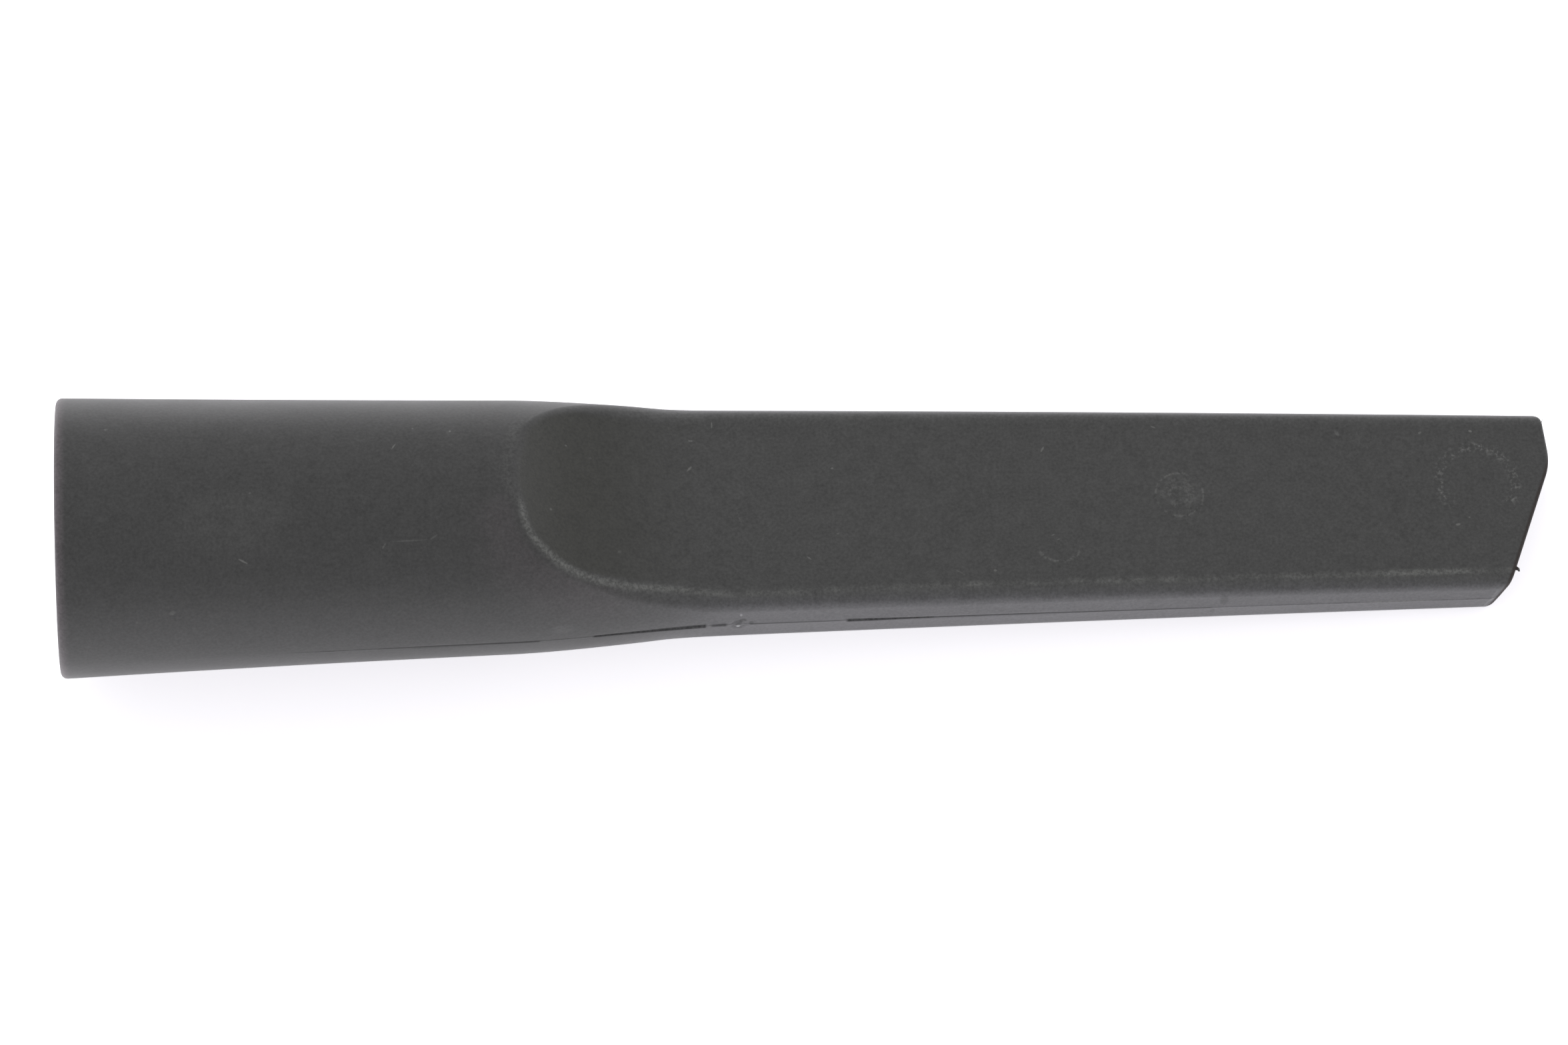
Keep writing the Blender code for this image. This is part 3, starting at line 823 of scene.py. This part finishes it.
class Graph:
    """The nodes of a material or of the world. Each method adds what it names and gives back its output."""

    def __init__(self, tree):
        self.nodes = tree.nodes
        self.links = tree.links

    def put(self, node, slot, value):
        """Link an output to a node's input, or set the input to a number, a colour or a vector."""
        if isinstance(value, bpy.types.NodeSocket):
            self.links.new(value, node.inputs[slot])
        else:
            node.inputs[slot].default_value = value

    def attribute(self, name, output):
        """A mesh attribute."""
        node = self.nodes.new("ShaderNodeAttribute")
        node.attribute_name = name
        return node.outputs[output]

    def maths(self, operation, first, second=0.0, third=0.0):
        """The result of a mathematical operation."""
        node = self.nodes.new("ShaderNodeMath")
        node.operation = operation
        for slot, value in enumerate((first, second, third)):
            self.put(node, slot, value)
        return node.outputs[0]

    def product(self, *values):
        """The values multiplied together."""
        result = values[0]
        for value in values[1:]:
            result = self.maths("MULTIPLY", result, value)
        return result

    def fade(self, value, start, end, first=0.0, last=1.0):
        """A smooth change from first, where the value is at start, to last, where it is at end."""
        node = self.nodes.new("ShaderNodeMapRange")
        node.interpolation_type = "SMOOTHSTEP"
        names = ("Value", "From Min", "From Max", "To Min", "To Max")
        if end < start:
            start, end, first, last = end, start, last, first
        for name, setting in zip(names, (value, start, end, first, last)):
            self.put(node, name, setting)
        return node.outputs["Result"]

    def line(self, value, centre, half_width):
        """1 where the value is at the centre, falling to 0 at the half width on both sides."""
        away = self.maths("ABSOLUTE", self.maths("SUBTRACT", value, centre))
        return self.fade(self.maths("DIVIDE", away, half_width), 1.0, 0.0)

    def band(self, value, start, end, edge):
        """1 where the value is from start to end, with an edge of the given width inside both."""
        return self.product(self.fade(value, start, start + edge), self.fade(value, end, end - edge))

    def noise(self, place, scale, detail, roughness, stretch=(1.0, 1.0, 1.0)):
        """Noise with the given number of cells to a unit of length, from 0 to 1."""
        mapping = self.nodes.new("ShaderNodeMapping")
        self.put(mapping, "Vector", place)
        self.put(mapping, "Scale", stretch)
        node = self.nodes.new("ShaderNodeTexNoise")
        self.put(node, "Vector", mapping.outputs["Vector"])
        self.put(node, "Scale", scale)
        self.put(node, "Detail", detail)
        self.put(node, "Roughness", roughness)
        return node.outputs["Fac"]

    def specks(self, place, scale, radius, chance):
        """Small round specks, at most one to a cell, from 0 to 1."""
        node = self.nodes.new("ShaderNodeTexVoronoi")
        self.put(node, "Vector", place)
        self.put(node, "Scale", scale)
        lot = self.nodes.new("ShaderNodeSeparateColor")
        self.put(lot, "Color", node.outputs["Color"])
        chosen = self.fade(lot.outputs[0], *chance)
        return self.product(self.fade(node.outputs["Distance"], radius, 0.0), chosen)

    def slanted(self, first, second, first_share, second_share, offset):
        """The two outputs added up, each times its share, with an offset."""
        rest = self.maths("MULTIPLY_ADD", second, second_share, offset)
        return self.maths("MULTIPLY_ADD", first, first_share, rest)

    def spot(self, first, second, centre_first, centre_second, half_length, half_width, angle=0.0):
        """A long or round soft spot on the surface that the outputs first and second are measured along."""
        cosine = math.cos(math.radians(angle))
        sine = math.sin(math.radians(angle))
        middle_along = centre_first * cosine + centre_second * sine
        middle_across = centre_second * cosine - centre_first * sine
        length_shares = (cosine / half_length, sine / half_length, -middle_along / half_length)
        width_shares = (-sine / half_width, cosine / half_width, -middle_across / half_width)
        along = self.slanted(first, second, *length_shares)
        across = self.slanted(first, second, *width_shares)
        away = self.maths("SQRT", self.maths("MULTIPLY_ADD", along, along, self.product(across, across)))
        return self.fade(away, 1.0, SPOT_CORE)

    def ring(self, x, y, radius, half_width, start, sweep):
        """Part of a ring on a broad face, from the outputs x and y measured from its centre."""
        away = self.maths("SQRT", self.maths("ADD", self.product(x, x), self.product(y, y)))
        angle = self.maths("SUBTRACT", self.maths("ARCTAN2", y, x), math.radians(start))
        turned = self.maths("FLOORED_MODULO", angle, math.tau)
        part = self.band(turned, 0.0, math.radians(sweep), RING_END)
        return self.product(self.line(away, radius, half_width), part)

    def tint(self, first, last, share):
        """The colour that lies the given share of the way from the first to the last."""
        node = self.nodes.new("ShaderNodeMix")
        node.data_type = "RGBA"
        self.put(node, "Factor", share)
        for slot, colour in zip(MIX_COLOURS, (first, last)):
            self.put(node, slot, colour if isinstance(colour, bpy.types.NodeSocket) else (*colour, 1.0))
        return node.outputs[MIX_COLOUR_RESULT]

    def blend(self, first, last, share):
        """The number that lies the given share of the way from the first to the last."""
        node = self.nodes.new("ShaderNodeMix")
        self.put(node, "Factor", share)
        for slot, number in zip(MIX_NUMBERS, (first, last)):
            self.put(node, slot, number)
        return node.outputs[0]

    def sway(self, value, noise, amount):
        """The value, which a noise moves up and down by half the amount."""
        return self.maths("MULTIPLY_ADD", self.maths("SUBTRACT", noise, 0.5), amount, value)


class Plastic(Graph):
    """The moulded plastic's nodes: its noises and zones, and a method for each thing that shows on it."""

    def __init__(self, tree):
        super().__init__(tree)
        self.place = self.attribute("own_place", "Vector")
        self.edge = self.attribute("edge_place", "Fac")
        parts = self.nodes.new("ShaderNodeSeparateXYZ")
        self.put(parts, "Vector", self.place)
        self.x, self.y, self.z = parts.outputs
        self.grain = self.noise(self.place, *GRAIN_NOISE)
        self.mottle = self.noise(self.place, *MOTTLE_NOISE)
        self.patches = self.noise(self.place, *PATCH_NOISE)
        self.speckle = self.fade(self.grain, *SPECKLE_GRAIN)
        self.duct = self.fade(self.edge, *DUCT_ACROSS)
        self.outside = self.maths("SUBTRACT", 1.0, self.duct)
        self.upper = self.product(self.fade(self.z, *UPPER_HEIGHT), self.outside)
        self.near = self.product(self.fade(self.y, *NEAR_WIDTH), self.outside)
        across = self.fade(self.edge, *SIDE_ACROSS)
        self.side = self.product(across, self.fade(self.x, *SIDE_ALONG), self.outside)

    def bare_colour(self):
        """The plastic's own colours before any wear, with a painted highlight on the rim's rounded edge and
        painted light on the rounding between the face and the side.
        """
        scoop = self.product(self.fade(self.x, *SCOOP_ALONG), self.fade(self.edge, *SCOOP_ACROSS))
        bloom = self.product(self.band(self.x, *BLOOM_ALONG), self.near, BLOOM_SHARE)
        for across in (BLOOM_START_ACROSS, BLOOM_END_ACROSS):
            bloom = self.product(bloom, self.fade(self.edge, *across))
        rounding = self.product(self.line(self.edge, *ROUNDING_ACROSS), self.fade(self.x, *ROUNDING_ALONG))
        colour = self.tint(SOCKET_CHARCOAL, CHARCOAL, self.fade(self.x, *NOZZLE_ALONG))
        colour = self.tint(colour, SCOOP_CHARCOAL, self.product(scoop, self.outside))
        colour = self.tint(colour, BLOOM_GREY, bloom)
        # Painted light on the rounding between the face and the side
        colour = self.tint(colour, ROUNDING_LIGHT_GREY, self.product(rounding, self.outside, ROUNDING_SHARE))
        colour = self.tint(colour, SIDE_GREY, self.side)
        # Painted highlight on the rim's rounded edge
        return self.tint(colour, RIM_HIGHLIGHT_GREY, self.product(self.fade(self.x, *RIM_ALONG), self.outside))

    def bare_roughness(self):
        """The plastic's own roughness on the faces, on the narrow sides and in the duct."""
        return self.blend(self.blend(FACE_ROUGHNESS, SIDE_ROUGHNESS, self.side), DUCT_ROUGHNESS, self.duct)

    def burnished(self):
        """The burnished line along the near edge, and the speckled band along the scoop's top."""
        faint = self.fade(self.mottle, *FAINT_MOTTLE, *FAINT_SHARES)
        strength = self.blend(faint, 1.0, self.fade(self.x, *BURNISHED_STRONG_ALONG))
        strength = self.blend(strength, POLISHED_SHARE, self.band(self.x, *POLISHED_ALONG))
        strength = self.product(strength, self.fade(self.x, *BURNISHED_ALONG), self.near)
        strength = self.product(strength, self.blend(SMOOTH_SHARE, 1.0, self.speckle))
        half_width = self.fade(self.x, *BURNISHED_WIDENING, *BURNISHED_HALF_WIDTHS)
        middle = BURNISHED_MIDDLE
        for start, end, new_middle in BURNISHED_DRIFTS:
            middle = self.fade(self.x, start, end, middle, new_middle)
        line = self.product(self.line(self.edge, middle, half_width), strength)
        band = self.product(self.line(self.edge, *BAND_ACROSS), self.band(self.x, *BAND_ALONG), self.upper)
        band = self.product(band, self.fade(self.y, *BAND_FAR_WIDTH), self.fade(self.y, *BAND_NEAR_WIDTH))
        return self.maths("MAXIMUM", line, self.product(band, self.blend(*BAND_SHARES, self.speckle)))

    def worn(self):
        """The scuffs and parts of rings on the upper face, and flecks all over."""
        marks = 0.0
        for *shape, strong in SCUFFS:
            marks = self.maths("MAXIMUM", marks, self.product(self.spot(self.x, self.y, *shape), strong))
        blotches = self.noise(self.place, *BLOTCH_NOISE)
        clusters = self.blend(self.grain, blotches, 0.5)
        for centre_x, centre_y, radius, half_width, start, sweep, strong, broken in RINGS:
            from_x = self.maths("SUBTRACT", self.x, centre_x)
            from_y = self.maths("SUBTRACT", self.y, centre_y)
            ring = self.ring(from_x, from_y, radius, half_width, start, sweep)
            left = self.fade(clusters, broken - BROKEN_BELOW, broken + BROKEN_ABOVE)
            marks = self.maths("MAXIMUM", marks, self.product(ring, left, strong))
        flecks = self.specks(self.place, FLECK_CELLS, FLECK_RADIUS, FLECK_CHANCE)
        flecks = self.product(flecks, FLECK_SHARE, self.outside)
        return self.maths("MAXIMUM", self.product(marks, self.upper), flecks)

    def pared(self):
        """Painted shade: the dark line where the near side's flash has been pared, for the shade in its
        groove.
        """
        cuts = 0.0
        height = self.maths("ABSOLUTE", self.z)
        for start, end, thin, thick, strong in SEAM_LINES:
            share = self.maths("DIVIDE", height, self.fade(self.x, start, end, thin, thick))
            cut = self.product(self.fade(share, 1.0, CUT_CORE), strong)
            cuts = self.maths("MAXIMUM", cuts, self.product(cut, self.band(self.x, start, end, CUT_END)))
        return self.product(cuts, self.near, self.blend(CUT_SHARE, 1.0, self.speckle))

    def bright_seam(self):
        """The stretch of the near side's parting line that is lighter."""
        line = self.line(self.z, *BRIGHT_SEAM_HEIGHT)
        return self.product(line, self.band(self.x, *BRIGHT_SEAM_ALONG), self.near, BRIGHT_SEAM_SHARE)

    def far_seam(self):
        """The far side's parting line, which is dark here and there."""
        line = self.product(self.line(self.z, *FAR_SEAM_HEIGHT), self.fade(self.y, *FAR_WIDTH), self.outside)
        return self.product(line, self.fade(self.patches, *FAR_SEAM_PATCHES), FAR_SEAM_SHARE)

    def side_marked(self, colour):
        """The colour with the marks on the near side."""
        for *shape, strong, light in SIDE_MARKS:
            spot = self.product(self.spot(self.x, self.z, *shape), self.near, strong)
            colour = self.tint(colour, GATE_WHITE if light else SHADE_AND_MARK_BLACK, spot)
        return colour

    def mouth(self):
        """Where painted shade goes on the cut face and lips of the mouth, from their distance behind the cut's
        plane.
        """
        behind = self.maths("MULTIPLY_ADD", self.y, NEAR_SLANT, MOUTH_REACH * MILLIMETRES)
        behind = self.maths("MULTIPLY_ADD", self.z, MOUTH_RAKE, self.maths("SUBTRACT", behind, self.x))
        cut = self.product(self.fade(behind, *MOUTH_BEHIND), self.fade(behind, *MOUTH_AHEAD))
        return self.product(cut, self.fade(self.x, *MOUTH_ALONG))

    def shaded(self, colour):
        """The colour, made darker and lighter by the noises, and lighter low on the near side: painted light
        reflected up from the floor.
        """
        shade = self.sway(1.0, self.mottle, MOTTLE_SHADE)
        shade = self.sway(shade, self.grain, GRAIN_SHADE)
        shade = self.sway(shade, self.patches, PATCH_SHADE)
        # Painted light reflected from the floor, low on the narrow sides
        lower = self.product(self.fade(self.z, *LOWER_HEIGHT), self.side)
        shade = self.maths("MULTIPLY_ADD", lower, LOWER_PAINTED_LIGHT, shade)
        # Painted light reflected from the floor, below the parting line on the socket's near side
        below = self.product(self.fade(self.z, *SOCKET_BELOW_HEIGHT), self.fade(self.x, *SOCKET_BELOW_ALONG))
        shade = self.maths("MULTIPLY_ADD", self.product(below, self.near), SOCKET_BELOW_PAINTED_LIGHT, shade)
        scaled = self.nodes.new("ShaderNodeVectorMath")
        scaled.operation = "SCALE"
        self.put(scaled, 0, colour)
        self.put(scaled, "Scale", shade)
        return scaled.outputs["Vector"]

    def relief(self):
        """The fine grain outside, and drag lines along the duct."""
        drag = self.noise(self.place, *DRAG_NOISE, DRAG_STRETCH)
        height = self.product(self.blend(self.grain, drag, self.duct), GRAIN_HEIGHT)
        bump = self.nodes.new("ShaderNodeBump")
        self.put(bump, "Strength", 1.0)
        self.put(bump, "Distance", 1.0 / MILLIMETRES)
        self.put(bump, "Height", self.maths("MULTIPLY_ADD", self.mottle, MOTTLE_HEIGHT, height))
        return bump.outputs["Normal"]


def moulded_plastic():
    """Charcoal plastic with a fine matte grain, burnished edges, trimmed flash and the scuffs of use, with
    painted shade along the pared flash and at the mouth, and painted light on the rim, the edge's rounding and
    low on the sides.
    """
    material = bpy.data.materials.new(SLOT)
    material.use_nodes = True
    shader = material.node_tree.nodes["Principled BSDF"]
    plastic = Plastic(material.node_tree)
    colour = plastic.bare_colour()
    roughness = plastic.bare_roughness()
    burnished = plastic.burnished()
    colour = plastic.tint(colour, BURNISHED_GREY, burnished)
    roughness = plastic.blend(roughness, BURNISHED_ROUGHNESS, burnished)
    colour = plastic.tint(colour, SCUFF_GREY, plastic.worn())
    pared = plastic.pared()
    # Painted shade along the pared stretches of the near side; the far side's parting line is darkened here
    # and there too
    colour = plastic.tint(colour, SHADE_AND_MARK_BLACK, plastic.maths("MAXIMUM", pared, plastic.far_seam()))
    colour = plastic.tint(colour, SCUFF_GREY, plastic.bright_seam())
    roughness = plastic.blend(roughness, PARED_ROUGHNESS, pared)
    colour = plastic.side_marked(colour)
    mouth = plastic.mouth()
    # Painted shade on the mouth's cut face and lips
    colour = plastic.tint(colour, MOUTH_SHADE_BROWN, mouth)
    roughness = plastic.blend(roughness, MOUTH_ROUGHNESS, mouth)
    roughness = plastic.sway(roughness, plastic.patches, PATCH_ROUGHNESS)
    roughness = plastic.sway(roughness, plastic.mottle, MOTTLE_ROUGHNESS)
    plastic.put(shader, "Base Color", plastic.shaded(colour))
    plastic.put(shader, "Roughness", roughness)
    plastic.put(shader, "Normal", plastic.relief())
    shader.inputs["IOR"].default_value = REFRACTIVE_INDEX
    return material


def make_floor():
    """A wide pale floor under the moulding, which glows softly like a light table."""
    mesh = bpy.data.meshes.new("floor")
    size = FLOOR_HALF_SIZE
    corners = [(-size, -size, 0.0), (size, -size, 0.0), (size, size, 0.0), (-size, size, 0.0)]
    mesh.from_pydata(corners, [], [(0, 1, 2, 3)])
    material = bpy.data.materials.new("floor")
    material.use_nodes = True
    shader = material.node_tree.nodes["Principled BSDF"]
    shader.inputs["Base Color"].default_value = FLOOR_COLOUR
    shader.inputs["Roughness"].default_value = FLOOR_ROUGHNESS
    shader.inputs["Emission Color"].default_value = FLOOR_TINT
    shader.inputs["Emission Strength"].default_value = FLOOR_GLOW
    mesh.materials.append(material)
    floor = bpy.data.objects.new("floor", mesh)
    bpy.context.scene.collection.objects.link(floor)


def make_light():
    """A soft white surround, brightest at the horizon and dimmer overhead, and one wide lamp."""
    world = bpy.data.worlds.new("surround")
    bpy.context.scene.world = world
    world.use_nodes = True
    graph = Graph(world.node_tree)
    direction = graph.nodes.new("ShaderNodeTexCoord")
    parts = graph.nodes.new("ShaderNodeSeparateXYZ")
    graph.put(parts, "Vector", direction.outputs["Generated"])
    background = graph.nodes["Background"]
    graph.put(background, "Color", SURROUND_COLOUR)
    glow = graph.fade(parts.outputs["Z"], 0.0, ZENITH_HEIGHT, HORIZON_GLOW, ZENITH_GLOW)
    graph.put(background, "Strength", glow)
    lamp = bpy.data.lights.new("overhead", "AREA")
    lamp.shape = "DISK"
    lamp.size = LAMP_SIZE
    lamp.energy = LAMP_POWER
    lamp_object = bpy.data.objects.new("overhead", lamp)
    lamp_object.location = LAMP_PLACE
    lamp_object.rotation_euler = Vector(LAMP_PLACE).to_track_quat("Z", "Y").to_euler()
    lamp_object.visible_glossy = False
    bpy.context.scene.collection.objects.link(lamp_object)


def make_camera():
    """A long lens, high on the near side, that looks a little to the left."""
    yaw = Matrix.Rotation(-CAMERA_YAW, 3, "Z")
    sine, cosine = math.sin(CAMERA_PAN), math.cos(CAMERA_PAN)
    down, level = math.cos(CAMERA_LEAN), math.sin(CAMERA_LEAN)
    right = yaw @ Vector((cosine, level * sine, -down * sine))
    up = yaw @ Vector((0.0, down, level))
    back = yaw @ Vector((sine, -level * cosine, down * cosine))
    camera = bpy.data.cameras.new("camera")
    camera.lens = CAMERA_LENS
    camera.sensor_width = SENSOR_WIDTH
    camera.clip_end = FARTHEST_SEEN
    place = Matrix((right, up, back)).transposed().to_4x4()
    place.translation = Vector(CAMERA_TARGET) + back * CAMERA_DISTANCE
    camera_object = bpy.data.objects.new("camera", camera)
    camera_object.matrix_world = place
    bpy.context.scene.collection.objects.link(camera_object)
    bpy.context.scene.camera = camera_object


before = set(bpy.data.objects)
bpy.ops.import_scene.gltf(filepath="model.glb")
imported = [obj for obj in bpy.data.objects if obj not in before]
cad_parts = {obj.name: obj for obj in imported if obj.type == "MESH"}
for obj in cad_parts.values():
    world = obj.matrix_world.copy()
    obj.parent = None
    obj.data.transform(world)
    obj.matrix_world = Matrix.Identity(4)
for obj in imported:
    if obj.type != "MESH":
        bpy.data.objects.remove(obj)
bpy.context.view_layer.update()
bpy.context.scene.view_settings.view_transform = "Standard"
nozzle_object = make_nozzle(moulded_plastic())
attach(nozzle_object, "root")
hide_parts(NODE)
make_floor()
make_light()
make_camera()
